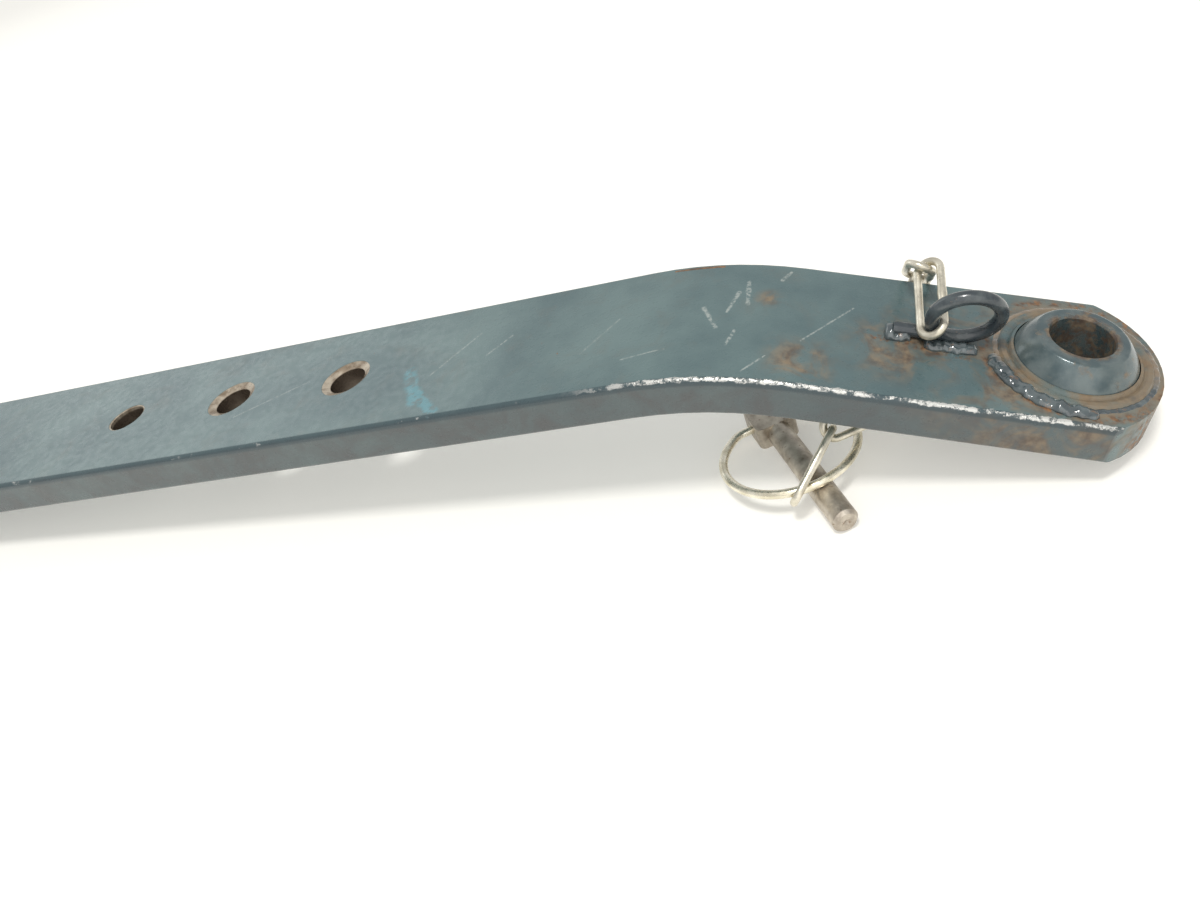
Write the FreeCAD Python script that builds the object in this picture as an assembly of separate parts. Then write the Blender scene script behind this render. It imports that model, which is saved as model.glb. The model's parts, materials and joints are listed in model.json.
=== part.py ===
import FreeCAD, Part
import math
import os

# Lower link of a tractor's three-point hitch: a flat bar, bent once the flat way, with a ball in a
# swaged ring at each end, three holes for the lift rod and the check chain, and a retaining pin kept on
# a chain. The origin is the centre of the implement ball. +X runs along the ground towards the
# implement end, +Y away from the viewer and +Z up. The link rests on the lower rims of its two balls.
# Millimetres and degrees throughout.

Vec = FreeCAD.Vector

# Bar
bar_width = 70.0
bar_thickness = 16.0
bar_edge_radius = 2.0
bend_angle = 21.5
bend_radius = 152.0
implement_ball_to_bend = 125.5
bend_to_hole = 160.6
end_radius = 39.6
end_centre_inboard = 9.8

# Holes for the lift rod and the check chain, counted from the bend
hole_count = 3
hole_pitch = 60.0
last_hole_to_tractor_ball = 285.0
hole_radius = 7.75
hole_chamfers = [1.6, 1.6, 0.4]
chamfer_width_to_depth = 2.0

# Ball and the ring that it turns in
ball_radius = 23.5
ball_width = 35.0
ball_bore_radius = 11.2
ball_bore_flare = 0.45
ball_rim_rounding = 1.5
ball_clearance = 0.3
ring_wall = 3.2
lip_height = 1.85
lip_width = 0.9
groove_width = 0.7
groove_depth = 1.2
shoulder_drop = 0.7
shoulder_width = 1.6
shoulder_slope_width = 1.0

# Welds round the ring
fillet_leg = 1.8
fillet_hollow = 0.4
bead_width = 4.5
bead_height = 1.6
bead_flank_share = 0.35
bead_flank_height_share = 0.75
bead_start_angle = 188.0
bead_end_angle = 278.0

# Eye for the chain, bent from round rod and welded on top of the bar
eye_rod = 5.0
eye_loop_radius = 11.7
eye_inboard = 40.9
eye_to_far_edge = 38.4
eye_lean = 18.0
eye_yaw = 8.7
eye_tail_inboard = 64.0
tail_weld_radius = 3.9
tail_weld_length = 5.0
front_weld_radius = 2.6
front_weld_length = 19.0
front_weld_offset = 4.3
front_weld_inboard = 43.5

# Chain
chain_wire = 3.0
chain_pitch = 28.0
chain_width = 12.0
chain_gap = 0.35
first_link_hook_angle = 206.1
first_link_swing = -2.9
first_link_roll = -15.3
# How each further link hangs on the one before it: its slide round the bow, in the plane of the one
# before, its swing out of that plane about the wire, and its twist about its own length
chain_hang = [
    (-43.0, -49.0, -16.8),
    (20.1, -50.5, 17.0),
    (50.8, 10.2, 14.5),
    (-73.2, 27.0, 17.7),
    (-71.6, 39.8, 16.6),
    (-35.1, 10.5, 20.8),
]
last_link_slide = 137.1

# Retaining pin and its sprung ring
pin_radius = 5.0
pin_length = 65.2
pin_end_chamfer = 1.2
pin_dimple_radius = 1.3
pin_dimple_depth = 0.8
head_width = 17.0
head_length = 17.0
head_thickness = 10.0
head_rounding = 2.5
head_hole_clearance = 0.05
pin_heading = -59.5
lynch_radius = 26.4
lynch_wire = 3.4
lynch_corner_radius = 8.0
lynch_side_play = 1.9
lynch_side_shift = 1.6
lynch_stub = 3.0
lynch_hook_angle = 15.2

# Edges are picked by their place, to within this distance
same_place = 0.01
slope_halvings = 60


def rad(angle):
    return math.radians(angle)


def unit(vector):
    return vector * (1.0 / vector.Length)


def turned(vector, axis, angle):
    return FreeCAD.Rotation(axis, angle).multVec(vector)


def axes_placement(origin, x_axis, y_axis):
    """Placement whose local x and y run along the two given directions."""
    z_axis = x_axis.cross(y_axis)
    return FreeCAD.Placement(origin, FreeCAD.Rotation(x_axis, y_axis, z_axis, "ZXY"))


def placed(shape, placement):
    moved = shape.copy()
    moved.Placement = placement.multiply(moved.Placement)
    return moved


def cylinder(start, end, radius):
    along = end - start
    return Part.makeCylinder(radius, along.Length, start, along)


def capsule(start, end, radius):
    body = cylinder(start, end, radius)
    return body.fuse([Part.makeSphere(radius, start), Part.makeSphere(radius, end)]).removeSplitter()


def revolved(points, angle_start=0.0, angle_end=360.0):
    """Solid of a closed outline of (radius, height) points turned about the local z axis."""
    corners = [Vec(radius, 0, height) for radius, height in points]
    face = Part.Face(Part.makePolygon(corners + corners[:1]))
    face.rotate(Vec(0, 0, 0), Vec(0, 0, 1), angle_start)
    return face.revolve(Vec(0, 0, 0), Vec(0, 0, 1), angle_end - angle_start)


# Where the link rests: both balls touch the ground with the lower rounding of their rims
half_thickness = bar_thickness / 2
half_width = bar_width / 2
tractor_ball_to_bend = bend_to_hole + (hole_count - 1) * hole_pitch + last_hole_to_tractor_ball
rim_centre_height = ball_width / 2 - ball_rim_rounding
rim_centre_radius = math.sqrt((ball_radius - ball_rim_rounding) ** 2 - rim_centre_height ** 2)


def ball_height_over_ground(slope):
    """Height of a ball's centre when its axis leans by the slope of its leg."""
    return rim_centre_radius * math.sin(slope) + rim_centre_height * math.cos(slope) + ball_rim_rounding


def rest_slope():
    """Slope of the long leg, in radians, that puts both balls on the ground."""
    low, high = 0.0, rad(bend_angle)
    for _ in range(slope_halvings):
        slope = (low + high) / 2
        other = rad(bend_angle) - slope
        tractor_side = tractor_ball_to_bend * math.sin(slope) + ball_height_over_ground(slope)
        implement_side = implement_ball_to_bend * math.sin(other) + ball_height_over_ground(other)
        if tractor_side < implement_side:
            low = slope
        else:
            high = slope
    return low


tractor_slope = rest_slope()
implement_slope = rad(bend_angle) - tractor_slope
ground = -ball_height_over_ground(implement_slope)

# Frames of the two legs: x outward along the leg, z out of the bar's upper face
implement_x = Vec(math.cos(implement_slope), 0, -math.sin(implement_slope))
tractor_x = Vec(-math.cos(tractor_slope), 0, -math.sin(tractor_slope))
bend_point = implement_x * -implement_ball_to_bend
tractor_ball_centre = bend_point + tractor_x * tractor_ball_to_bend
implement_end = axes_placement(Vec(0, 0, 0), implement_x, Vec(0, 1, 0))
tractor_end = axes_placement(tractor_ball_centre, tractor_x, Vec(0, -1, 0))
across = Vec(0, 1, 0)
implement_up = implement_end.Rotation.multVec(Vec(0, 0, 1))


def on_face(inboard, offset, height):
    """Point above the upper face of the implement leg, measured inboard from the ball."""
    return implement_end.multVec(Vec(-inboard, offset, half_thickness + height))


def bar_section():
    """Face of the bar's cross-section, with rounded edges, in the local yz plane."""
    y, z, r = half_width, half_thickness, bar_edge_radius
    slant = r * (1 - math.sqrt(0.5))
    edges = []
    for sign_y, sign_z in ((1, 1), (-1, 1), (-1, -1), (1, -1)):
        side = Vec(0, sign_y * y, sign_z * (z - r))
        middle = Vec(0, sign_y * (y - slant), sign_z * (z - slant))
        flat = Vec(0, sign_y * (y - r), sign_z * z)
        first, last = (side, flat) if sign_y * sign_z > 0 else (flat, side)
        if edges:
            edges.append(Part.LineSegment(edges[-1].EndPoint, first))
        edges.append(Part.Arc(first, middle, last))
    edges.append(Part.LineSegment(edges[-1].EndPoint, edges[0].StartPoint))
    return Part.Face(Part.Wire([edge.toShape() for edge in edges]))


socket_outer_radius = ball_radius + ball_clearance + ring_wall
bend_tangent = bend_radius * math.tan(rad(bend_angle / 2))


def leg_solid(to_bend):
    """Straight leg in its end's frame, from the bend to the rounded end."""
    inner = -(to_bend - bend_tangent)
    tip = end_radius - end_centre_inboard
    section = bar_section()
    section.translate(Vec(inner, 0, 0))
    leg = section.extrude(Vec(tip - inner, 0, 0))
    corner = Vec(inner, -half_width, -half_thickness)
    shaft = Part.makeBox(-end_centre_inboard - inner, bar_width, bar_thickness, corner)
    nose = Part.makeCylinder(end_radius, bar_thickness, Vec(-end_centre_inboard, 0, -half_thickness))
    leg = leg.common(shaft.fuse(nose))
    return leg.cut(Part.makeCylinder(socket_outer_radius, bar_thickness, Vec(0, 0, -half_thickness)))


def bend_solid():
    """Bend between the legs, in the implement end's frame."""
    inner = -(implement_ball_to_bend - bend_tangent)
    section = bar_section()
    section.translate(Vec(inner, 0, 0))
    return section.revolve(Vec(inner, 0, -bend_radius), Vec(0, 1, 0), -bend_angle)


def hole_tool(chamfer):
    """Through hole with a chamfer at both mouths, about the local z axis."""
    straight = half_thickness - chamfer
    outer = hole_radius + chamfer * chamfer_width_to_depth
    half = [(0, straight), (hole_radius, straight), (outer, half_thickness), (0, half_thickness)]
    tool = Part.makeCylinder(hole_radius, bar_thickness, Vec(0, 0, -half_thickness))
    lower = [(radius, -height) for radius, height in reversed(half)]
    return tool.fuse([revolved(half), revolved(lower)])


def hole_centre(number):
    """Centre of a hole in the tractor end's frame, counted from the bend."""
    return Vec(-(tractor_ball_to_bend - bend_to_hole - number * hole_pitch), 0, 0)


def make_bar():
    long_leg = leg_solid(tractor_ball_to_bend)
    for number in range(hole_count):
        tool = hole_tool(hole_chamfers[number])
        tool.translate(hole_centre(number))
        long_leg = long_leg.cut(tool)
    short_leg = leg_solid(implement_ball_to_bend)
    pieces = [placed(bend_solid(), implement_end), placed(long_leg, tractor_end)]
    return placed(short_leg, implement_end).fuse(pieces).removeSplitter()


def make_ball():
    slab = Part.makeCylinder(ball_radius + ball_rim_rounding, ball_width, Vec(0, 0, -ball_width / 2))
    body = Part.makeSphere(ball_radius).common(slab)
    rims = [edge for edge in body.Edges if abs(abs(edge.CenterOfMass.z) - ball_width / 2) < same_place]
    body = body.makeFillet(ball_rim_rounding, rims)
    flare_depth = ball_bore_flare * chamfer_width_to_depth
    mouth = ball_width / 2
    bore = [(0, -mouth), (ball_bore_radius + ball_bore_flare, -mouth)]
    bore += [(ball_bore_radius, -mouth + flare_depth), (ball_bore_radius, mouth - flare_depth)]
    bore += [(ball_bore_radius + ball_bore_flare, mouth), (0, mouth)]
    return body.cut(revolved(bore))


# Outline of the ring's upper end, from the lip at the ball to the outside
lip_level = half_thickness + lip_height
seat_radius = ball_radius + ball_clearance
lip_inner_radius = math.sqrt(seat_radius ** 2 - lip_level ** 2)
groove_radius = lip_inner_radius + lip_width + groove_width
shoulder_level = lip_level - shoulder_drop
shoulder_outer = socket_outer_radius - shoulder_slope_width
shoulder_inner = shoulder_outer - shoulder_width


def make_socket_ring():
    upper = [
        (lip_inner_radius - lip_width, lip_level),
        (lip_inner_radius + lip_width, lip_level),
        (groove_radius, lip_level - groove_depth),
        (shoulder_inner, shoulder_level),
        (shoulder_outer, shoulder_level),
        (socket_outer_radius, half_thickness),
    ]
    lower = [(radius, -height) for radius, height in reversed(upper)]
    return revolved(upper + lower).cut(Part.makeSphere(seat_radius))


def make_fillet_weld():
    """Low fillet weld between the ring's shoulder and the bar's upper face."""
    rise = (shoulder_level - half_thickness) * (1 - fillet_hollow)
    points = [
        (socket_outer_radius, half_thickness),
        (socket_outer_radius + fillet_leg, half_thickness),
        (socket_outer_radius + fillet_leg * fillet_hollow, half_thickness + rise),
        (shoulder_outer, shoulder_level),
    ]
    return revolved(points)


def make_bead():
    """Heavier weld bead over a quarter of the ring, outside the fillet weld."""
    inner = socket_outer_radius + fillet_leg
    outer = socket_outer_radius + bead_width
    middle = (inner + outer) / 2
    flank_level = half_thickness + bead_height * bead_flank_height_share
    points = [
        (inner, half_thickness),
        (outer, half_thickness),
        (outer - (outer - middle) * bead_flank_share, flank_level),
        (middle, half_thickness + bead_height),
        (inner, flank_level),
    ]
    return revolved(points, bead_start_angle, bead_end_angle)


# Eye: its loop leans towards the viewer and stands on the bar's face
leaned_normal = Vec(0, -math.cos(rad(eye_lean)), -math.sin(rad(eye_lean)))
eye_normal = implement_end.Rotation.multVec(turned(leaned_normal, Vec(0, 0, 1), eye_yaw))
eye_level = unit(implement_up.cross(eye_normal))
if eye_level.dot(implement_x) < 0:
    eye_level = eye_level * -1
eye_rise = unit(eye_normal.cross(eye_level))
if eye_rise.dot(implement_up) < 0:
    eye_rise = eye_rise * -1
eye_height = eye_rod / 2 + eye_loop_radius * math.cos(rad(eye_lean))
eye_centre = on_face(eye_inboard, half_width - eye_to_far_edge, eye_height)
eye_foot = eye_centre - eye_rise * eye_loop_radius


def eye_point(angle):
    direction = eye_level * math.cos(rad(angle)) + eye_rise * math.sin(rad(angle))
    return eye_centre + direction * eye_loop_radius


def make_eye():
    loop = Part.makeTorus(eye_loop_radius, eye_rod / 2, eye_centre, eye_normal)
    foot_offset = eye_foot.dot(across)
    tail = cylinder(eye_foot, on_face(eye_tail_inboard, foot_offset, eye_rod / 2), eye_rod / 2)
    return loop.fuse(tail).removeSplitter()


def make_tail_weld(bar, eye):
    foot_offset = eye_foot.dot(across)
    start = on_face(eye_tail_inboard - tail_weld_length, foot_offset, 0)
    end = on_face(eye_tail_inboard, foot_offset, 0)
    return capsule(start, end, tail_weld_radius).cut(bar).cut(eye)


def make_front_weld(bar, eye):
    offset = eye_foot.dot(across) - front_weld_offset
    half = front_weld_length / 2 - front_weld_radius
    start = on_face(front_weld_inboard + half, offset, 0)
    end = on_face(front_weld_inboard - half, offset, 0)
    return capsule(start, end, front_weld_radius).cut(bar).cut(eye)


# Chain: a link's frame has x along the link and y across it, from the centre of its first bow
bow_radius = (chain_width - chain_wire) / 2
link_run = chain_pitch + chain_wire - 2 * bow_radius
bow_play = bow_radius - chain_wire - chain_gap


class Link:
    def __init__(self, along, across_link):
        self.along = unit(along)
        self.across = unit(across_link - self.along * across_link.dot(self.along))
        self.normal = self.along.cross(self.across)
        self.start = Vec(0, 0, 0)

    def end(self):
        return self.start + self.along * link_run


def first_link():
    """Link hooked round the rod of the eye, square to the rod."""
    seat = eye_point(first_link_hook_angle)
    outward = unit(seat - eye_centre)
    rod = unit(eye_normal.cross(outward))
    away = rod.cross(outward)
    if away.dot(across) < 0:
        away = away * -1
    along = away * math.cos(rad(first_link_swing)) + outward * math.sin(rad(first_link_swing))
    link = Link(along, turned(rod.cross(along), along, first_link_roll))
    play = bow_radius - (eye_rod + chain_wire) / 2 - chain_gap
    link.start = seat + link.along * play
    return link, seat, rod


def hung_links():
    """Every link with the point and the direction of the hinge that it turns on."""
    links = [first_link()]
    for slide, swing, twist in chain_hang:
        before = links[-1][0]
        pulled = turned(before.along, before.normal, slide)
        wire = before.normal.cross(pulled)
        seat = before.end() + pulled * bow_radius
        along = turned(pulled, wire, swing)
        link = Link(along, turned(turned(before.normal, wire, swing), along, twist))
        link.start = seat + link.along * bow_play
        links.append((link, seat, wire))
    return links


def make_link(link):
    """One link: two bows joined by two straight strands."""
    half_bow = Part.Face(Part.Wire(Part.makeCircle(chain_wire / 2, Vec(0, bow_radius, 0), Vec(1, 0, 0))))
    first_bow = half_bow.revolve(Vec(0, 0, 0), Vec(0, 0, 1), 180)
    last_bow = half_bow.revolve(Vec(0, 0, 0), Vec(0, 0, 1), -180)
    last_bow.translate(Vec(link_run, 0, 0))
    strands = []
    for side in (-bow_radius, bow_radius):
        strands.append(cylinder(Vec(0, side, 0), Vec(link_run, side, 0), chain_wire / 2))
    solid = first_bow.fuse([last_bow] + strands).removeSplitter()
    return placed(solid, axes_placement(link.start, link.along, link.across))


# Pin on the ground, and its ring lying over the shank: local x across the head, y along the shank
chain_links = hung_links()
last_link = chain_links[-1][0]
lynch_spread = head_width / 2 + lynch_side_play
inner_radius = lynch_radius - lynch_corner_radius
lynch_centre_reach = lynch_corner_radius + math.sqrt(inner_radius ** 2 - lynch_spread ** 2)
hook = rad(lynch_hook_angle)
pin_axis_level = ground + pin_radius
ring_play = bow_radius - (lynch_wire + chain_wire) / 2 - chain_gap
ring_pull = turned(last_link.along, last_link.normal, last_link_slide)
ring_seat = last_link.end() + ring_pull * ring_play
hook_reach = lynch_centre_reach + lynch_radius * math.cos(hook)
lynch_rise = math.asin((ring_seat.z - pin_axis_level) / hook_reach)
shank_direction = Vec(math.cos(rad(pin_heading)), math.sin(rad(pin_heading)), 0)
head_across = shank_direction.cross(Vec(0, 0, 1))
ring_direction = shank_direction * math.cos(lynch_rise) + Vec(0, 0, math.sin(lynch_rise))
hook_direction = ring_direction * math.cos(hook) + head_across * math.sin(hook)
ring_tangent = head_across * math.cos(hook) - ring_direction * math.sin(hook)
lynch_centre = ring_seat - hook_direction * lynch_radius
lynch_axis_point = lynch_centre - ring_direction * lynch_centre_reach
pin_hinge = lynch_axis_point - head_across * lynch_side_shift


def make_lynch_ring():
    """Sprung ring: two short ends in the head, joined by corner arcs to one large arc."""
    wire_end = Part.Wire(Part.makeCircle(lynch_wire / 2, Vec(-lynch_stub, 0, 0), Vec(1, 0, 0)))
    turn = math.atan2(lynch_spread, lynch_centre_reach - lynch_corner_radius)

    def corner_point(share, side):
        """Point on a corner arc, from the head's side at share 0 to the large arc at share 1."""
        angle = share * turn
        out = lynch_spread + lynch_corner_radius * math.sin(angle)
        return Vec(side * out, lynch_corner_radius * (1 - math.cos(angle)), 0)

    far_point = Vec(0, lynch_centre_reach + lynch_radius, 0)
    left = [corner_point(share, -1) for share in (0, 0.5, 1)]
    right = [corner_point(share, 1) for share in (1, 0.5, 0)]
    edges = [
        Part.LineSegment(Vec(-lynch_stub, 0, 0), left[0]),
        Part.Arc(*left),
        Part.Arc(left[2], far_point, right[0]),
        Part.Arc(*right),
        Part.LineSegment(right[2], Vec(lynch_stub, 0, 0)),
    ]
    path = Part.Wire([edge.toShape() for edge in edges])
    solid = path.makePipeShell([wire_end], True, True)
    return placed(solid, axes_placement(lynch_axis_point, head_across, ring_direction))


def make_lynch_pin():
    """Round shank with a flattened head, bored across for the ring's ends."""
    back = Vec(-head_width / 2, -head_length / 2, -head_thickness / 2)
    head = Part.makeBox(head_width, head_length, head_thickness, back)
    upright = [edge for edge in head.Edges if edge.Vertexes[0].Point.x == edge.Vertexes[1].Point.x]
    upright = [edge for edge in upright if edge.Vertexes[0].Point.y == edge.Vertexes[1].Point.y]
    head = head.makeFillet(head_rounding, upright)
    shank = cylinder(Vec(0, 0, 0), Vec(0, pin_length, 0), pin_radius)
    rim = [edge for edge in shank.Edges if abs(edge.CenterOfMass.y - pin_length) < same_place]
    shank = shank.makeChamfer(pin_end_chamfer, rim)
    dimple_floor = Vec(0, pin_length - pin_dimple_depth, 0)
    dimple = Part.makeCone(0, pin_dimple_radius, pin_dimple_depth, dimple_floor, Vec(0, 1, 0))
    hole_end = Vec(head_width / 2, 0, 0)
    hole = cylinder(hole_end * -1, hole_end, lynch_wire / 2 + head_hole_clearance)
    pin = head.fuse(shank).cut(dimple).cut(hole).removeSplitter()
    return placed(pin, axes_placement(pin_hinge, head_across, shank_direction))


def build():
    nodes = {}
    nodes["link_bar"] = make_bar()
    for name, end in (("implement", implement_end), ("tractor", tractor_end)):
        nodes[name + "_ball"] = placed(make_ball(), end)
        nodes[name + "_socket_ring"] = placed(make_socket_ring(), end)
        turned_over = FreeCAD.Placement(Vec(0, 0, 0), FreeCAD.Rotation(Vec(1, 0, 0), 180))
        nodes[name + "_weld_top"] = placed(make_fillet_weld(), end)
        nodes[name + "_weld_bottom"] = placed(placed(make_fillet_weld(), turned_over), end)
        nodes[name + "_weld_bead"] = placed(make_bead(), end)
    nodes["chain_eye"] = make_eye()
    nodes["eye_tail_weld"] = make_tail_weld(nodes["link_bar"], nodes["chain_eye"])
    nodes["eye_front_weld"] = make_front_weld(nodes["link_bar"], nodes["chain_eye"])
    for number, (link, _, _) in enumerate(chain_links, 1):
        nodes["chain_link_%d" % number] = make_link(link)
    nodes["lynch_ring"] = make_lynch_ring()
    nodes["lynch_pin"] = make_lynch_pin()
    return nodes


def export(nodes):
    os.makedirs("parts", exist_ok=True)
    for name, shape in nodes.items():
        shape.exportStep("parts/%s.step" % name)
        kinds = "%d solid(s)" % len(shape.Solids)
        print(name, kinds, "valid" if shape.isValid() else "NOT VALID", round(shape.Volume, 1))


export(build())
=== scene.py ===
import json
import math

import bpy
import numpy as np
from mathutils import Matrix, Vector


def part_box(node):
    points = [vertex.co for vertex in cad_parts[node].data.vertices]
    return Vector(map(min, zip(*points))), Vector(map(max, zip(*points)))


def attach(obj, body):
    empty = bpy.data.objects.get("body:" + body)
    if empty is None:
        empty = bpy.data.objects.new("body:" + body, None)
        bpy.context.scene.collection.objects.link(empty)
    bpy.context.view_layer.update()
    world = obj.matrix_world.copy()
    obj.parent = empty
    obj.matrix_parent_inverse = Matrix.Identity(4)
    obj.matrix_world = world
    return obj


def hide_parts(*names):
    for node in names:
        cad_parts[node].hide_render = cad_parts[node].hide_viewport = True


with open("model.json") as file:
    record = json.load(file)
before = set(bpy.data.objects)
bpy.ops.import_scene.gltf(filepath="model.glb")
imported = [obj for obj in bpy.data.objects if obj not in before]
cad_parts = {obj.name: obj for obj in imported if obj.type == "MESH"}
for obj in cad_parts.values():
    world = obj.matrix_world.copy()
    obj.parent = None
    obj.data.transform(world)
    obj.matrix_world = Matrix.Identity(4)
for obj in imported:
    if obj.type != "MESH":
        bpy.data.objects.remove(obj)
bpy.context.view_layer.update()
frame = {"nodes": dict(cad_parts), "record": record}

# A tractor's lower link. Lengths are in metres, but the materials' patterns are in millimetres.
MM = 0.001
mounts = {mount["name"]: mount for mount in frame["record"]["mounts"]}
implement_up = Vector(mounts["implement_ball_bore"]["axis"])
tractor_up = Vector(mounts["tractor_ball_bore"]["axis"])
implement_ball_centre = Vector((0, 0, 0))
tractor_ball_centre = Vector(mounts["tractor_ball_bore"]["pos_m"])
ACROSS = Vector((0, 1, 0))
implement_along = ACROSS.cross(implement_up)
HALF_THICKNESS = 8 * MM
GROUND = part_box("implement_ball")[0].z


# Camera at the photograph's place and angle
PHOTO_SIZE = (1200, 900)
FOCAL_PIXELS = 970
OPTICAL_CENTRE = (710, 378)
CAMERA_PLACE = Vector((-0.0294, -0.2769, 0.2395))
CAMERA_FORWARD = Vector((-0.269, 0.748, -0.607)).normalized()
CAMERA_RIGHT = Vector((0.958, 0.146, -0.246))
SENSOR_WIDTH = 36
NEAREST_SEEN = 0.005
FARTHEST_SEEN = 50


def make_camera():
    data = bpy.data.cameras.new("camera")
    camera = bpy.data.objects.new("camera", data)
    bpy.context.collection.objects.link(camera)
    right = (CAMERA_RIGHT - CAMERA_FORWARD * CAMERA_RIGHT.dot(CAMERA_FORWARD)).normalized()
    up = right.cross(CAMERA_FORWARD)
    turn = Matrix((right, up, -CAMERA_FORWARD)).transposed()
    camera.matrix_world = Matrix.Translation(CAMERA_PLACE) @ turn.to_4x4()
    width, height = PHOTO_SIZE
    data.sensor_width = SENSOR_WIDTH
    data.lens = SENSOR_WIDTH * FOCAL_PIXELS / width
    data.shift_x = (width / 2 - OPTICAL_CENTRE[0]) / width
    data.shift_y = (OPTICAL_CENTRE[1] - height / 2) / width
    data.clip_start = NEAREST_SEEN
    data.clip_end = FARTHEST_SEEN
    bpy.context.scene.camera = camera


# Node materials. Patterns are placed by the piece's own coordinates at rest.
SPOT_CORE = 0.2
SCRATCH_CORE = 0.4
SCRATCH_REACH = 1.3


class Shader:
    """Principled material with the nodes that drive it. Masks run from 0 to 1."""

    def __init__(self, name, **sockets):
        self.material = bpy.data.materials.new(name)
        self.material.use_nodes = True
        self.tree = self.material.node_tree
        self.surface = self.tree.nodes["Principled BSDF"]
        for socket, value in sockets.items():
            self.surface.inputs[socket.replace("_", " ")].default_value = value
        place = self.tree.nodes.new("ShaderNodeTexCoord").outputs["Object"]
        self.place = self.vector("SCALE", place, scale=1 / MM)
        self.plan = self.vector("MULTIPLY", self.place, Vector((1, 1, 0)))
        self.height = None

    def feed(self, socket, value):
        if isinstance(value, bpy.types.NodeSocket):
            self.tree.links.new(value, socket)
        elif value is not None:
            socket.default_value = value

    def vector(self, operation, a, b=None, scale=None, result="Vector"):
        node = self.tree.nodes.new("ShaderNodeVectorMath")
        node.operation = operation
        self.feed(node.inputs[0], a)
        self.feed(node.inputs[1], b)
        if scale is not None:
            self.feed(node.inputs["Scale"], scale)
        return node.outputs[result]

    def maths(self, operation, a, b=None, third=None, clamp=False):
        node = self.tree.nodes.new("ShaderNodeMath")
        node.operation = operation
        node.use_clamp = clamp
        self.feed(node.inputs[0], a)
        self.feed(node.inputs[1], b)
        self.feed(node.inputs[2], third)
        return node.outputs[0]

    def join(self, operation, values):
        result = values[0]
        for value in values[1:]:
            result = self.maths(operation, result, value)
        return result

    def most(self, *masks):
        return self.join("MAXIMUM", masks)

    def times(self, *masks):
        return self.join("MULTIPLY", masks)

    def coordinate(self, letter):
        split = self.tree.nodes.new("ShaderNodeSeparateXYZ")
        self.feed(split.inputs[0], self.place)
        return split.outputs[letter]

    def reach(self, place, direction):
        """Length of a place's vector along a direction."""
        return self.vector("DOT_PRODUCT", place, direction, result="Value")

    def from_axis(self, centre, axis):
        """Distance from the line through centre along axis."""
        away = self.vector("SUBTRACT", self.place, centre)
        foot = self.vector("SCALE", axis, scale=self.reach(away, axis))
        return self.vector("DISTANCE", away, foot, result="Value")

    def noise(self, size, detail=4.0, rough=0.55, distortion=0.0):
        """Noise whose main lumps are about size millimetres across."""
        node = self.tree.nodes.new("ShaderNodeTexNoise")
        self.feed(node.inputs["Vector"], self.place)
        node.inputs["Scale"].default_value = 1 / size
        node.inputs["Detail"].default_value = detail
        node.inputs["Roughness"].default_value = rough
        node.inputs["Distortion"].default_value = distortion
        return node.outputs["Fac"]

    def span(self, value, low, high, to_low=0.0, to_high=1.0):
        """Smooth step from to_low to to_high as value goes from low to high."""
        node = self.tree.nodes.new("ShaderNodeMapRange")
        node.interpolation_type = "SMOOTHSTEP"
        self.feed(node.inputs["Value"], value)
        self.feed(node.inputs["From Min"], low)
        self.feed(node.inputs["From Max"], high)
        self.feed(node.inputs["To Min"], to_low)
        self.feed(node.inputs["To Max"], to_high)
        return node.outputs["Result"]

    def patches(self, low, high, size, detail=4.0, rough=0.55, distortion=0.0):
        """Mask of cloudy patches: 0 where the noise is under low and 1 where it is over high."""
        return self.span(self.noise(size, detail, rough, distortion), low, high)

    def between(self, mask, at_none, at_full):
        return self.span(mask, 0.0, 1.0, at_none, at_full)

    def mix(self, share, a, b):
        node = self.tree.nodes.new("ShaderNodeMix")
        node.data_type = "RGBA"
        colours = [socket for socket in node.inputs if socket.type == "RGBA"]
        self.feed(node.inputs["Factor"], share)
        self.feed(colours[0], (*a, 1) if isinstance(a, tuple) else a)
        self.feed(colours[1], (*b, 1) if isinstance(b, tuple) else b)
        return next(socket for socket in node.outputs if socket.type == "RGBA")

    def cover(self, colour, over, mask, share=None):
        """Lays one colour over another where the mask is 1, or only a share of the way."""
        return self.mix(mask if share is None else self.times(mask, share), colour, over)

    def spot(self, centre, radius):
        """Round patch: 1 near the centre, falling to 0 at the radius."""
        distance = self.vector("DISTANCE", self.place, Vector(centre), result="Value")
        return self.span(distance, radius, radius * SPOT_CORE)

    def scratch(self, start, end, width):
        """Ragged line between two points, seen from above: 1 on it and 0 beyond its width."""
        start, end = Vector((*start, 0)), Vector((*end, 0))
        along = end - start
        from_start = self.vector("SUBTRACT", self.plan, start)
        share = self.reach(from_start, along / along.length_squared)
        share = self.maths("ADD", share, 0.0, clamp=True)
        foot = self.vector("SCALE", along, scale=share)
        off = self.vector("DISTANCE", from_start, foot, result="Value")
        ragged = self.times(self.noise(size=6.0, detail=3.0), width * SCRATCH_REACH)
        return self.span(off, ragged, self.times(ragged, SCRATCH_CORE))

    def raise_by(self, height, amount):
        """Adds to the relief: amount is in millimetres."""
        relief = self.times(height, amount)
        self.height = relief if self.height is None else self.maths("ADD", self.height, relief)

    def done(self, colour, roughness, metallic=None):
        self.feed(self.surface.inputs["Base Color"], colour)
        self.feed(self.surface.inputs["Roughness"], roughness)
        self.feed(self.surface.inputs["Metallic"], metallic)
        bump = self.tree.nodes.new("ShaderNodeBump")
        bump.inputs["Distance"].default_value = MM
        self.feed(bump.inputs["Height"], self.height)
        self.tree.links.new(bump.outputs["Normal"], self.surface.inputs["Normal"])
        return self.material


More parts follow.
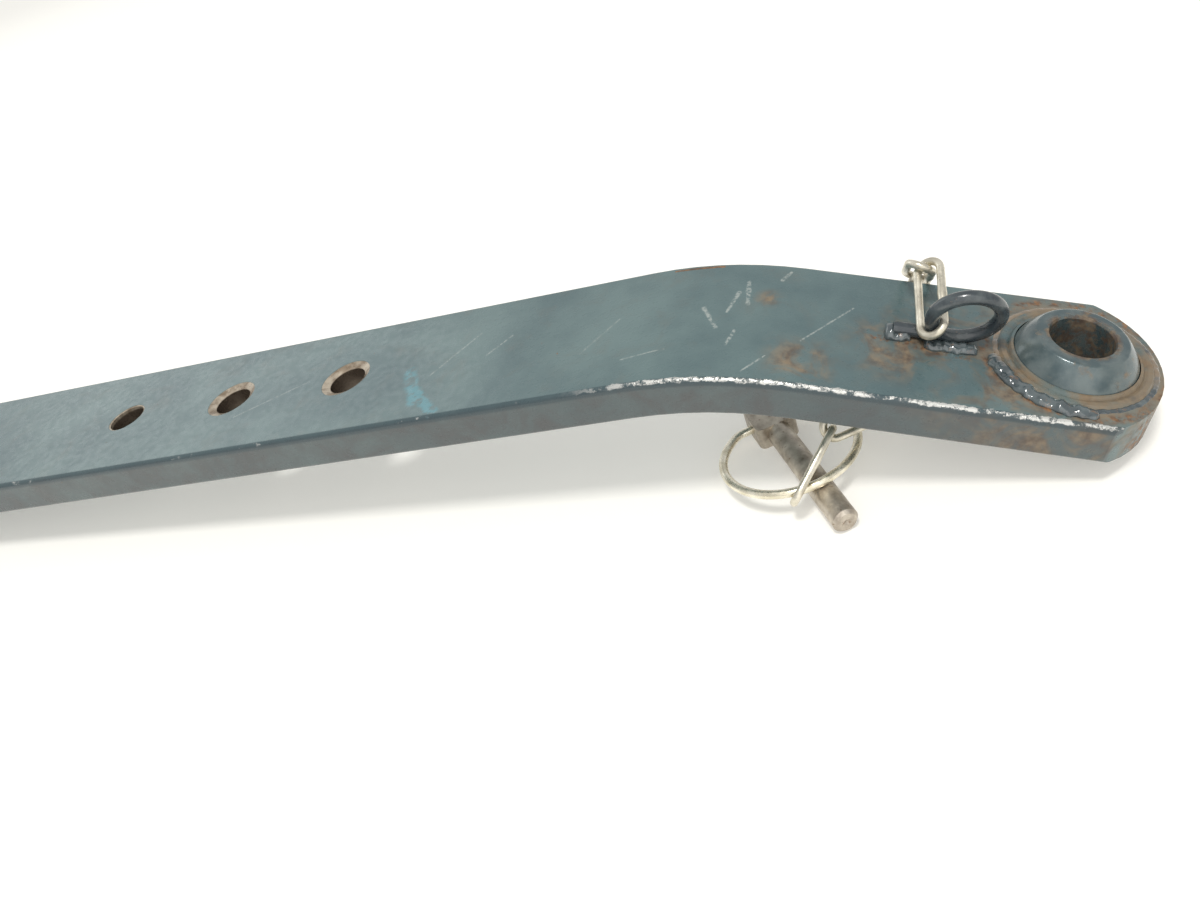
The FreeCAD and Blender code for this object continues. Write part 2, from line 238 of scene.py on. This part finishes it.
# Colours. A pair is the dark and the light colour of one cloudy mixture.
RUST = (0.270, 0.135, 0.055)
DARK_RUST = (0.090, 0.052, 0.030)
STAIN = (0.235, 0.165, 0.095)
PAINT = ((0.068, 0.112, 0.120), (0.122, 0.180, 0.180))
PAINT_BROWN = (0.120, 0.118, 0.100)
# Painted shade for the bar's side faces
SIDE_SHADE = (0.070, 0.069, 0.070)
SCRATCHED_PAINT = (0.42, 0.45, 0.42)
BLUE_PAINT = (0.09, 0.28, 0.33)
# Painted shade along the near edge's rounding
ROUNDING_SHADE = (0.030, 0.052, 0.062)
# Bare steel of the chips, which along the implement leg's near edge is also a painted highlight
BARE_EDGE_AND_HIGHLIGHT = (0.60, 0.60, 0.57)
HOLE_MOUTH = ((0.26, 0.20, 0.14), (0.56, 0.49, 0.39))
# Painted shade for the walls inside the holes
HOLE_WALL_SHADE = (0.115, 0.090, 0.068)
WELD_PAINT = ((0.030, 0.045, 0.052), (0.080, 0.105, 0.110))
EYE_PAINT = ((0.028, 0.038, 0.046), (0.070, 0.085, 0.090))
EYE_WORN = (0.20, 0.11, 0.06)
BALL_PAINT = ((0.056, 0.088, 0.096), (0.118, 0.150, 0.150))
ZINC = ((0.56, 0.52, 0.42), (0.88, 0.83, 0.70))
YELLOW_ZINC = ((0.72, 0.66, 0.50), (0.98, 0.93, 0.78))
ZINC_WORN = (0.34, 0.25, 0.15)
PIN_STEEL = ((0.34, 0.29, 0.235), (0.66, 0.60, 0.51))
PIN_RUST = (0.17, 0.09, 0.045)

# Where the patterns lie, in millimetres: a pair gives where a mask is 0 and where it is 1.
# A place's level is its height over the middle plane of the leg, and radii are from the ball's centre
# or the hole's axis.
BALL_TO_BEND = 125.5
BEND_SOFTNESS = 17.0
UPPER_FACE = (6.4, 7.2)
SIDE_FACE = (34.0, 34.9)
NEAR_ROUNDING_ACROSS = (-33.0, -33.6)
NEAR_ROUNDING_LEVEL = (4.8, 5.8)
NEAR_CHIPS_AND_HIGHLIGHT_ACROSS = (-33.25, -33.6)
NEAR_CHIPS_AND_HIGHLIGHT_LEVEL = (6.9, 7.3)
FAR_CHIPS_ACROSS = (33.6, 34.6)
FAR_CHIPS_LEVEL = (5.4, 6.8)
# Stretch where the near edge's chips also carry a painted highlight
HIGHLIT_EDGE_ALONG = (-175.0, -140.0)
HOLE_MOUTH_RADIUS = (11.6, 11.3)
HOLE_MOUTH_DEPTH = (7.97, 7.8)
HOLE_WALL_DEPTH = (6.6, 6.0)
BROWN_FILM_RADIUS = (37.0, 27.0)
RUSTY_SEAM_RADIUS = 32.5
RUSTY_SEAM_WIDTH = (3.0, 0.6)
CHIPS_RAGGED_BY = 3.0
WELD_FILM_RADIUS = (32.0, 29.5)
WELD_FILM_ACROSS = (-14.0, -6.0)
RUSTY_BORE_RADIUS = (14.0, 11.8)

# Brown stains: centre and radius
STAINS = (
    ((-8, -10, 6), 62), ((-46, 0, 22), 30), ((-58, -8, 26), 24), ((-88, -22, 36), 17),
    ((20, 6, 2), 34), ((28, -22, -2), 26), ((-101, 12, 42), 8),
)
# Scratches seen from above: two ends and the width
RUSTY_EYE_SEAM = ((-64, -3), (-34, -8), 3.6)
RUSTY_EDGE = ((-140, 32.0), (-121, 32.4), 1.3)
RUBS = (
    ((-125, 6), (-119, -6), 1.6), ((-116, 3), (-113, 15), 1.5), ((-109, 8), (-110, 22), 1.6),
    ((-236, -9), (-221, 14), 0.6), ((-152, -20), (-136, -17), 0.6), ((-107, -30), (-100, -21), 0.7),
    ((-89, -11), (-72, 12), 0.6), ((-170, -12), (-158, 6), 0.5), ((-330, -14), (-300, 2), 0.5),
    ((-114, -16), (-112, -8), 1.2), ((-98, 24), (-95, 30), 1.2), ((-213, -2), (-205, 8), 0.8),
)
BLUE_MARK = (((-247, -4), (-237, -24), 5.5), ((-238, -18), (-226, -32), 5.0))


def rust_colour(s):
    return s.mix(s.patches(0.35, 0.7, size=2.2, detail=5.0), DARK_RUST, RUST)


def bar_level(s):
    """Level of a place on the bar, with the bend rounded."""
    over_implement = s.reach(s.place, implement_up)
    from_bend = s.vector("SUBTRACT", s.place, implement_along * -BALL_TO_BEND)
    over_tractor = s.reach(from_bend, tractor_up)
    return s.maths("SMOOTH_MAX", over_implement, over_tractor, BEND_SOFTNESS)


def hole_mouths(s, depth):
    """Mask of the chamfered mouths of the three holes."""
    holes = [Vector(mounts[name]["pos_m"]) / MM for name in ("rod_hole_1", "rod_hole_2", "rod_hole_3")]
    mouths = [s.span(s.from_axis(centre, tractor_up), *HOLE_MOUTH_RADIUS) for centre in holes]
    return s.times(s.most(*mouths), s.span(depth, *HOLE_MOUTH_DEPTH))


def brown_stain(s):
    """Mask of the stain round the welds of the eye and the ring, and out along the end."""
    spots = s.most(*[s.spot(*one) for one in STAINS])
    return s.times(spots, s.patches(0.40, 0.64, size=13.0, detail=6.0, rough=0.62, distortion=0.9))


def brown_film(s, from_ball):
    near_ball = s.span(from_ball, *BROWN_FILM_RADIUS)
    return s.times(near_ball, s.patches(0.36, 0.60, size=20.0, rough=0.6))


def bar_rust(s, from_ball, top):
    """Mask of the rust along the seams, in flecks, and in a line at the far edge."""
    ring_seam = s.maths("ABSOLUTE", s.maths("SUBTRACT", from_ball, RUSTY_SEAM_RADIUS))
    seam = s.most(s.span(ring_seam, *RUSTY_SEAM_WIDTH), s.scratch(*RUSTY_EYE_SEAM))
    broken_seam = s.times(seam, s.patches(0.44, 0.60, size=4.0, detail=6.0, rough=0.7))
    flecks = s.patches(0.73, 0.78, size=2.6, detail=3.0, rough=0.5)
    sparse_flecks = s.times(flecks, s.patches(0.50, 0.66, size=34.0, detail=2.0))
    edge = s.times(s.scratch(*RUSTY_EDGE), top, 0.9)
    return s.most(broken_seam, sparse_flecks, edge)


def pale_rubs(s, top):
    rubs = s.most(*[s.scratch(*one) for one in RUBS])
    return s.times(rubs, s.patches(0.40, 0.58, size=1.3, rough=0.7), top)


def blue_mark(s, top):
    strokes = s.most(*[s.scratch(*one) for one in BLUE_MARK])
    return s.times(strokes, top, s.patches(0.40, 0.54, size=5.0, detail=5.0, rough=0.7))


def chips_and_edge_highlight(s, across, level):
    """Mask of the bare chips along the near edge of the upper face, and lightly along the far one. Along the
    implement leg, the near chips also carry a painted highlight.
    """
    uneven = s.maths("SUBTRACT", s.noise(size=3.5, detail=6.0, rough=0.7), 0.5)
    ragged = s.times(uneven, CHIPS_RAGGED_BY)
    chip_across = s.maths("ADD", across, ragged)
    chip_level = s.maths("SUBTRACT", level, ragged)
    near = s.times(s.span(chip_across, *NEAR_CHIPS_AND_HIGHLIGHT_ACROSS), s.span(chip_level, *NEAR_CHIPS_AND_HIGHLIGHT_LEVEL))
    far = s.times(s.span(chip_across, *FAR_CHIPS_ACROSS), s.span(chip_level, *FAR_CHIPS_LEVEL))
    highlit_stretch = s.span(s.coordinate("X"), *HIGHLIT_EDGE_ALONG)
    worn_and_highlit_end = s.times(highlit_stretch, s.patches(0.45, 0.52, size=8.0, detail=8.0, rough=0.85))
    worn_rest = s.patches(0.60, 0.66, size=9.0, detail=6.0, rough=0.75)
    return s.most(s.times(near, s.most(worn_and_highlit_end, worn_rest)), s.times(far, worn_rest))


def make_paint():
    """Thin satin paint on the bar and the rings: worn edges, rust round the welds, scratches, chips. Painted
    shade darkens the side faces, the near rounding and the holes' walls, and a painted highlight runs along
    the near edge with the chips.
    """
    s = Shader("paint", Specular_IOR_Level=0.55)
    across = s.coordinate("Y")
    level = bar_level(s)
    top = s.span(level, *UPPER_FACE)
    from_ball = s.vector("LENGTH", s.place, result="Value")
    smears = s.noise(size=16.0, detail=6.0, rough=0.65, distortion=0.6)
    colour = s.mix(s.patches(0.3, 0.7, size=60.0, detail=5.0, rough=0.6), *PAINT)
    colour = s.cover(colour, PAINT_BROWN, s.span(smears, 0.50, 0.78, to_low=0.0, to_high=0.35))
    # Painted shade: the side faces are darkened, more in some places than others.
    side = s.span(s.maths("ABSOLUTE", across), *SIDE_FACE)
    side_shade = s.times(side, s.span(smears, 0.3, 0.7, to_low=0.45, to_high=0.85))
    colour = s.cover(colour, SIDE_SHADE, side_shade)

    stain = brown_stain(s)
    stain_colour = s.mix(s.patches(0.35, 0.65, size=5.0, detail=6.0, rough=0.65), DARK_RUST, STAIN)
    colour = s.cover(colour, stain_colour, stain, share=0.85)
    colour = s.cover(colour, STAIN, brown_film(s, from_ball), share=0.6)
    rusty = bar_rust(s, from_ball, top)
    colour = s.cover(colour, rust_colour(s), rusty)
    rub = pale_rubs(s, top)
    colour = s.cover(colour, SCRATCHED_PAINT, rub, share=0.62)
    colour = s.cover(colour, BLUE_PAINT, blue_mark(s, top), share=0.6)

    # Painted shade: a dark band along the rounding of the near edge.
    rounding_shade = s.times(s.span(across, *NEAR_ROUNDING_ACROSS), s.span(level, *NEAR_ROUNDING_LEVEL))
    colour = s.cover(colour, ROUNDING_SHADE, rounding_shade, share=0.75)
    # Bare chips on the edges, with a painted highlight along the implement leg's near edge.
    chips_and_highlight = chips_and_edge_highlight(s, across, level)
    colour = s.cover(colour, BARE_EDGE_AND_HIGHLIGHT, chips_and_highlight)
    depth = s.maths("ABSOLUTE", level)
    mouth = hole_mouths(s, depth)
    colour = s.cover(colour, s.mix(s.patches(0.35, 0.65, size=6.0), *HOLE_MOUTH), mouth)
    # Painted shade: the holes' walls are darkened below the chamfered mouths.
    colour = s.cover(colour, HOLE_WALL_SHADE, s.times(mouth, s.span(depth, *HOLE_WALL_DEPTH)))

    roughness = s.span(s.noise(size=3.0, detail=5.0), 0.3, 0.7, to_low=0.22, to_high=0.38)
    roughness = s.maths("ADD", roughness, s.times(s.most(rusty, stain), 0.25))
    s.raise_by(s.noise(size=0.9, detail=3.0), 0.018)
    s.raise_by(s.noise(size=14.0, detail=3.0), 0.10)
    s.raise_by(rusty, 0.06)
    s.raise_by(chips_and_highlight, -0.05)
    s.raise_by(rub, -0.02)
    return s.done(colour, roughness, metallic=s.times(s.most(chips_and_highlight, mouth), 0.6))


def make_weld_paint():
    """Painted weld bead: glossy, dark, with rust in its hollows and brown film near the implement ring."""
    s = Shader("weld_paint", Specular_IOR_Level=0.9, Coat_Weight=0.8, Coat_Roughness=0.05)
    rusty = s.patches(0.56, 0.66, size=4.0, detail=6.0, rough=0.7)
    colour = s.mix(s.patches(0.35, 0.65, size=6.0), *WELD_PAINT)
    near_ring = s.span(s.vector("LENGTH", s.place, result="Value"), *WELD_FILM_RADIUS)
    film = s.times(near_ring, s.span(s.coordinate("Y"), *WELD_FILM_ACROSS), s.patches(0.34, 0.52, size=14.0))
    colour = s.cover(colour, STAIN, film, share=0.8)
    colour = s.cover(colour, rust_colour(s), rusty, share=0.8)
    s.raise_by(s.noise(size=1.4), 0.10)
    return s.done(colour, roughness=s.between(rusty, 0.14, 0.5))


def make_eye_paint():
    """Rod of the eye: glossy blue-black paint."""
    s = Shader("eye_paint", Specular_IOR_Level=0.6, Coat_Weight=0.3, Coat_Roughness=0.1)
    worn = s.patches(0.64, 0.70, size=2.4, detail=5.0, rough=0.7)
    colour = s.cover(s.mix(s.patches(0.35, 0.7, size=5.0), *EYE_PAINT), EYE_WORN, worn)
    s.raise_by(s.noise(size=1.2, detail=3.0), 0.06)
    return s.done(colour, roughness=s.between(worn, 0.24, 0.6))


def make_ball_steel():
    """Ball: thin grey-blue paint over steel, glossy where it is rubbed and rusty in the bore."""
    s = Shader("ball_steel", Specular_IOR_Level=0.7, Coat_Weight=0.25, Coat_Roughness=0.12)
    axes = ((implement_ball_centre, implement_up), (tractor_ball_centre / MM, tractor_up))
    bores = [s.span(s.from_axis(*axis), *RUSTY_BORE_RADIUS) for axis in axes]
    rusty = s.most(*bores, s.patches(0.56, 0.68, size=12.0, detail=5.0))
    rusty = s.times(rusty, s.patches(0.40, 0.58, size=4.5, detail=6.0, rough=0.7))
    rust = s.mix(s.patches(0.4, 0.7, size=3.0, detail=5.0), DARK_RUST, STAIN)
    paint = s.mix(s.patches(0.35, 0.65, size=8.0, detail=5.0), *BALL_PAINT)
    s.raise_by(s.noise(size=1.0, detail=3.0), 0.03)
    s.raise_by(rusty, 0.05)
    colour = s.cover(paint, rust, rusty, share=0.85)
    return s.done(colour, roughness=s.between(rusty, 0.24, 0.6), metallic=0.25)


def make_zinc(name, colours, rust_from, roughness):
    """Zinc plate, cloudy, with dull patches and a little rust."""
    s = Shader(name)
    worn = s.patches(rust_from, rust_from + 0.08, size=3.0, detail=6.0, rough=0.7)
    colour = s.cover(s.mix(s.patches(0.3, 0.7, size=6.0), *colours), ZINC_WORN, worn, share=0.55)
    s.raise_by(s.noise(size=0.9, detail=2.0), 0.012)
    s.raise_by(s.noise(size=4.0, detail=2.0), 0.04)
    dull = s.span(s.noise(size=1.8), 0.3, 0.7, to_low=roughness - 0.08, to_high=roughness + 0.10)
    return s.done(colour, dull, metallic=s.between(worn, 0.85, 0.3))


def make_pin_steel():
    """Pin: brownish bright steel, lightly rusted and a little rough."""
    s = Shader("pin_steel")
    colour = s.mix(s.patches(0.3, 0.7, size=7.0, detail=6.0, rough=0.65), *PIN_STEEL)
    rusty = s.span(s.noise(size=2.0, detail=5.0), 0.60, 0.72, to_low=0.0, to_high=0.7)
    s.raise_by(s.noise(size=0.6, detail=2.0), 0.05)
    roughness = s.span(s.noise(size=2.5), 0.3, 0.7, to_low=0.28, to_high=0.5)
    return s.done(s.cover(colour, PIN_RUST, rusty), roughness, metallic=0.75)


materials = {
    "paint": make_paint(),
    "weld_paint": make_weld_paint(),
    "eye_paint": make_eye_paint(),
    "ball_steel": make_ball_steel(),
    "zinc": make_zinc("zinc", ZINC, 0.68, 0.34),
    "yellow_zinc": make_zinc("yellow_zinc", YELLOW_ZINC, 0.62, 0.28),
    "pin_steel": make_pin_steel(),
}
slots = {part["node"]: part["material_slot"] for part in frame["record"]["subparts"]}
bodies = frame["record"]["behaviour"]["bodies"]
body_of_node = {node: body for body, members in bodies.items() for node in members}
for node, shown in frame["nodes"].items():
    shown.data.materials.clear()
    shown.data.materials.append(materials[slots[node]])


def add_mesh(name, points, faces, slot, replaced):
    """Smooth mesh that stands for one CAD node and rides on its body."""
    data = bpy.data.meshes.new(name)
    data.from_pydata([tuple(point) for point in points], [], faces)
    data.polygons.foreach_set("use_smooth", [True] * len(data.polygons))
    data.materials.append(materials[slot])
    data.update()
    shown = bpy.data.objects.new(name, data)
    bpy.context.collection.objects.link(shown)
    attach(shown, body_of_node[replaced])
    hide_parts(replaced)


def ring_faces(rings, corners, closed):
    """Quads between neighbouring rings of points, with end caps where the run is open."""
    faces = []
    for ring in range(rings if closed else rings - 1):
        here, beyond = ring * corners, (ring + 1) % rings * corners
        for corner in range(corners):
            after = (corner + 1) % corners
            faces.append((here + corner, here + after, beyond + after, beyond + corner))
    if not closed:
        faces.append(tuple(reversed(range(corners))))
        faces.append(tuple(range((rings - 1) * corners, rings * corners)))
    return faces


# Chain links: smooth round wire, with the thickening of the weld on one strand
LINK_CORNERS = 18
BOW_STEPS = 16
STRAND_STEPS = 10
WELD_SWELLING = 0.16
WELD_SHORTNESS = 1.6


def link_axes(node):
    """Centre, three directions and three extents of a link's CAD solid: along, across and normal."""
    shown = frame["nodes"][node]
    points = np.array([shown.matrix_world @ vertex.co for vertex in shown.data.vertices])
    spread = points - points.mean(axis=0)
    _, columns = np.linalg.eigh(spread.T @ spread)
    along, across = Vector(columns[:, 2]), Vector(columns[:, 1])
    directions = (along, across, along.cross(across))
    centre = Vector((0, 0, 0))
    extents = []
    for direction in directions:
        reach = points @ np.array(direction)
        centre += direction * float((reach.max() + reach.min()) / 2)
        extents.append(float(reach.max() - reach.min()))
    return centre, directions, extents


def make_link(node):
    centre, (along, across, normal), (length, width, wire) = link_axes(node)
    bow = (width - wire) / 2
    run = length - width
    path = []
    for side in (1, -1):
        for step in range(BOW_STEPS + 1):
            angle = math.pi * (step / BOW_STEPS - 0.5)
            out = along * math.cos(angle) * side + across * math.sin(angle) * side
            path.append((along * side * run / 2 + out * bow, out, 1.0))
        out = across * side
        for step in range(1, STRAND_STEPS):
            place = run * (0.5 - step / STRAND_STEPS)
            swelling = WELD_SWELLING * math.exp(-(place / wire * WELD_SHORTNESS) ** 2) if side > 0 else 0
            path.append((along * side * place + out * bow, out, 1 + swelling))
    points = []
    for place, out, thickness in path:
        for corner in range(LINK_CORNERS):
            angle = 2 * math.pi * corner / LINK_CORNERS
            offset = out * math.cos(angle) + normal * math.sin(angle)
            points.append(centre + place + offset * (wire / 2 * thickness))
    add_mesh("smooth_" + node, points, ring_faces(len(path), LINK_CORNERS, True), "zinc", node)


for node in sorted(frame["nodes"]):
    if node.startswith("chain_link_"):
        make_link(node)


# Weld beads: an arched run of overlapping lumps. A bead's size is its width, height and lump length.
BEAD_CORNERS = 12
BEAD_STEP = 0.4 * MM
FEWEST_STEPS = 12
BEAD_SUNK = 0.35 * MM
ARCH_FULLNESS = 0.8
HOLLOW_HEIGHT = 0.80
LUMP_HEIGHT = 0.34
END_SHARPNESS = 8
END_SIZE = 0.05
FILLET = (2.4 * MM, 0.8 * MM, 5.0 * MM)
RING_BEAD = (6.0 * MM, 2.6 * MM, 5.6 * MM)
TAIL_BEAD = (8.4 * MM, 3.6 * MM, 4.6 * MM)
FRONT_BEAD = (5.6 * MM, 2.9 * MM, 3.0 * MM)


def wobble(place, seed):
    """Smooth, repeatable unevenness between -1 and 1 along a bead."""
    return 0.55 * math.sin(place * 1.7 + seed) + 0.45 * math.sin(place * 3.9 + seed * 2.3)


def end_taper(share):
    """Size at a share of an open bead's length, which falls off only near the ends."""
    return min(1.0, math.sqrt(max(0.0, 1 - abs(2 * share - 1) ** END_SHARPNESS)) + END_SIZE)


def make_bead(name, node, spot_at, length, size, seed, closed=False):
    """Bead along spot_at(share), which gives a point, the side direction and the up direction."""
    width, height, lump = size
    steps = max(FEWEST_STEPS, int(length / BEAD_STEP))
    rings = steps if closed else steps + 1
    points = []
    for step in range(rings):
        share = step / steps
        place, side, up = spot_at(share)
        taper = 1.0 if closed else end_taper(share)
        run = share * length / MM
        phase = run * MM / lump % 1.0
        # Each lump is an arch, and the lumps differ a little in height, width and place
        uneven = 0.7 + 0.3 * wobble(run * 0.31, seed)
        arch = HOLLOW_HEIGHT + LUMP_HEIGHT * (1 - (2 * phase - 1) ** 2) * uneven
        tall = height * arch * taper * (1 + 0.14 * wobble(run * 0.6, seed + 4))
        wide = width * (0.92 + 0.10 * wobble(run * 0.5, seed + 1) + 0.08 * arch) * taper
        shift = side * (0.06 * width * wobble(run * 0.4, seed + 7))
        for corner in range(BEAD_CORNERS):
            angle = math.pi * corner / (BEAD_CORNERS - 1)
            rise = math.sin(angle) ** ARCH_FULLNESS * tall - BEAD_SUNK
            points.append(place + shift + side * (math.cos(angle) * wide / 2) + up * rise)
    add_mesh(name, points, ring_faces(rings, BEAD_CORNERS, closed), "weld_paint", node)


RING_OUTER = 27.0 * MM
FILLET_OUT = 0.5 * MM
RING_BEAD_OUT = 2.2 * MM
FULL_TURN = 2 * math.pi
RING_BEAD_FROM = math.radians(188)
RING_BEAD_TO = math.radians(278)


def round_bead(centre, x_axis, y_axis, radius, start, end):
    """Course of a bead round a ring, on the face that x_axis and y_axis turn about."""
    up = x_axis.cross(y_axis)

    def spot_at(share):
        angle = start + (end - start) * share
        out = x_axis * math.cos(angle) + y_axis * math.sin(angle)
        return centre + out * radius + up * HALF_THICKNESS, out, up
    return spot_at


def straight_bead(start, end, up):
    side = up.cross(end - start).normalized()
    return lambda share: (start.lerp(end, share), side, up)


ends = (
    ("implement", implement_ball_centre, implement_along, ACROSS, 1),
    ("tractor", tractor_ball_centre, (-ACROSS).cross(tractor_up), -ACROSS, 5),
)
for name, centre, x_axis, y_axis, seed in ends:
    for face, face_y_axis, face_seed in (("top", y_axis, seed), ("bottom", -y_axis, seed + 2)):
        full = round_bead(centre, x_axis, face_y_axis, RING_OUTER + FILLET_OUT, 0, FULL_TURN)
        make_bead(f"{name}_fillet_{face}", f"{name}_weld_{face}", full, FULL_TURN * RING_OUTER,
                  FILLET, face_seed, closed=True)
    arc = round_bead(centre, x_axis, y_axis, RING_OUTER + RING_BEAD_OUT, RING_BEAD_FROM, RING_BEAD_TO)
    make_bead(name + "_lumpy_bead", name + "_weld_bead", arc, RING_OUTER * (RING_BEAD_TO - RING_BEAD_FROM),
              RING_BEAD, seed + 3)


def face_point(inboard, offset):
    """Point of the implement leg's upper face, in millimetres inboard of the ball and across."""
    return implement_along * (-inboard * MM) + ACROSS * (offset * MM) + implement_up * HALF_THICKNESS


# Beads of the eye: the box of the CAD bead, where the bead runs inboard of the ball, its size and seed
eye_beads = (
    ("eye_tail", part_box("eye_tail_weld"), 67, 57, TAIL_BEAD, 2),
    ("eye_front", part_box("eye_front_weld"), 53, 34, FRONT_BEAD, 9),
)
for name, (low, high), start, end, size, seed in eye_beads:
    offset = (low.y + high.y) / 2 / MM
    course = straight_bead(face_point(start, offset), face_point(end, offset), implement_up)
    make_bead(name + "_bead", name + "_weld", course, (start - end) * MM, size, seed)


# Floor, world and lamps
FLOOR_REACH = 6
FLOOR_COLOUR = (0.93, 0.92, 0.88, 1)
FLOOR_ROUGHNESS = 0.9
FLOOR_SPECULAR = 0.1
# The floor glows a little to the camera and in reflections, as a burnt-out backdrop does
GLOW_COLOUR = (1.0, 0.975, 0.91, 1)
GLOW_STRENGTH = 1.45
GLOW_SHARE = 0.22
WORLD_COLOUR = (1.0, 1.0, 1.0, 1)
WORLD_STRENGTH = 0.62
LAMPS_AIM = Vector((-0.15, 0, 0))
# Name, place, size, power and colour
LAMPS = (
    ("key", (0.02, -0.85, 3.0), 0.64, 52.0, (1.0, 0.985, 0.955)),
    ("left_panel", (-1.5, 0.9, 0.8), 1.0, 2.0, (0.95, 1.0, 1.0)),
    ("front_fill", (0.3, -1.2, 0.8), 2.0, 8.0, (1.0, 0.98, 0.95)),
)


def make_floor_material():
    material = bpy.data.materials.new("floor")
    material.use_nodes = True
    tree = material.node_tree
    surface = tree.nodes["Principled BSDF"]
    surface.inputs["Base Color"].default_value = FLOOR_COLOUR
    surface.inputs["Roughness"].default_value = FLOOR_ROUGHNESS
    surface.inputs["Specular IOR Level"].default_value = FLOOR_SPECULAR
    glow = tree.nodes.new("ShaderNodeEmission")
    glow.inputs["Color"].default_value = GLOW_COLOUR
    glow.inputs["Strength"].default_value = GLOW_STRENGTH
    seen = tree.nodes.new("ShaderNodeLightPath")
    either = tree.nodes.new("ShaderNodeMath")
    either.operation = "MAXIMUM"
    tree.links.new(seen.outputs["Is Camera Ray"], either.inputs[0])
    tree.links.new(seen.outputs["Is Glossy Ray"], either.inputs[1])
    share = tree.nodes.new("ShaderNodeMath")
    share.operation = "MULTIPLY"
    share.inputs[1].default_value = GLOW_SHARE
    tree.links.new(either.outputs[0], share.inputs[0])
    blend = tree.nodes.new("ShaderNodeMixShader")
    tree.links.new(share.outputs[0], blend.inputs[0])
    tree.links.new(surface.outputs[0], blend.inputs[1])
    tree.links.new(glow.outputs[0], blend.inputs[2])
    tree.links.new(blend.outputs[0], tree.nodes["Material Output"].inputs[0])
    return material


def make_stage():
    data = bpy.data.meshes.new("floor")
    corners = [(x * FLOOR_REACH, y * FLOOR_REACH, GROUND) for x, y in ((-1, -1), (1, -1), (1, 1), (-1, 1))]
    data.from_pydata(corners, [], [(0, 1, 2, 3)])
    floor = bpy.data.objects.new("floor", data)
    bpy.context.collection.objects.link(floor)
    data.materials.append(make_floor_material())


def make_world():
    world = bpy.data.worlds.new("world")
    world.use_nodes = True
    background = world.node_tree.nodes["Background"]
    background.inputs["Color"].default_value = WORLD_COLOUR
    background.inputs["Strength"].default_value = WORLD_STRENGTH
    bpy.context.scene.world = world


def make_lamp(name, place, size, power, colour):
    data = bpy.data.lights.new(name, "AREA")
    data.shape = "DISK"
    data.size = size
    data.energy = power
    data.color = colour
    lamp = bpy.data.objects.new(name, data)
    bpy.context.collection.objects.link(lamp)
    lamp.location = place
    lamp.rotation_euler = (LAMPS_AIM - Vector(place)).to_track_quat("-Z", "Y").to_euler()


make_camera()
make_stage()
make_world()
for lamp in LAMPS:
    make_lamp(*lamp)
bpy.context.scene.view_settings.view_transform = "Standard"
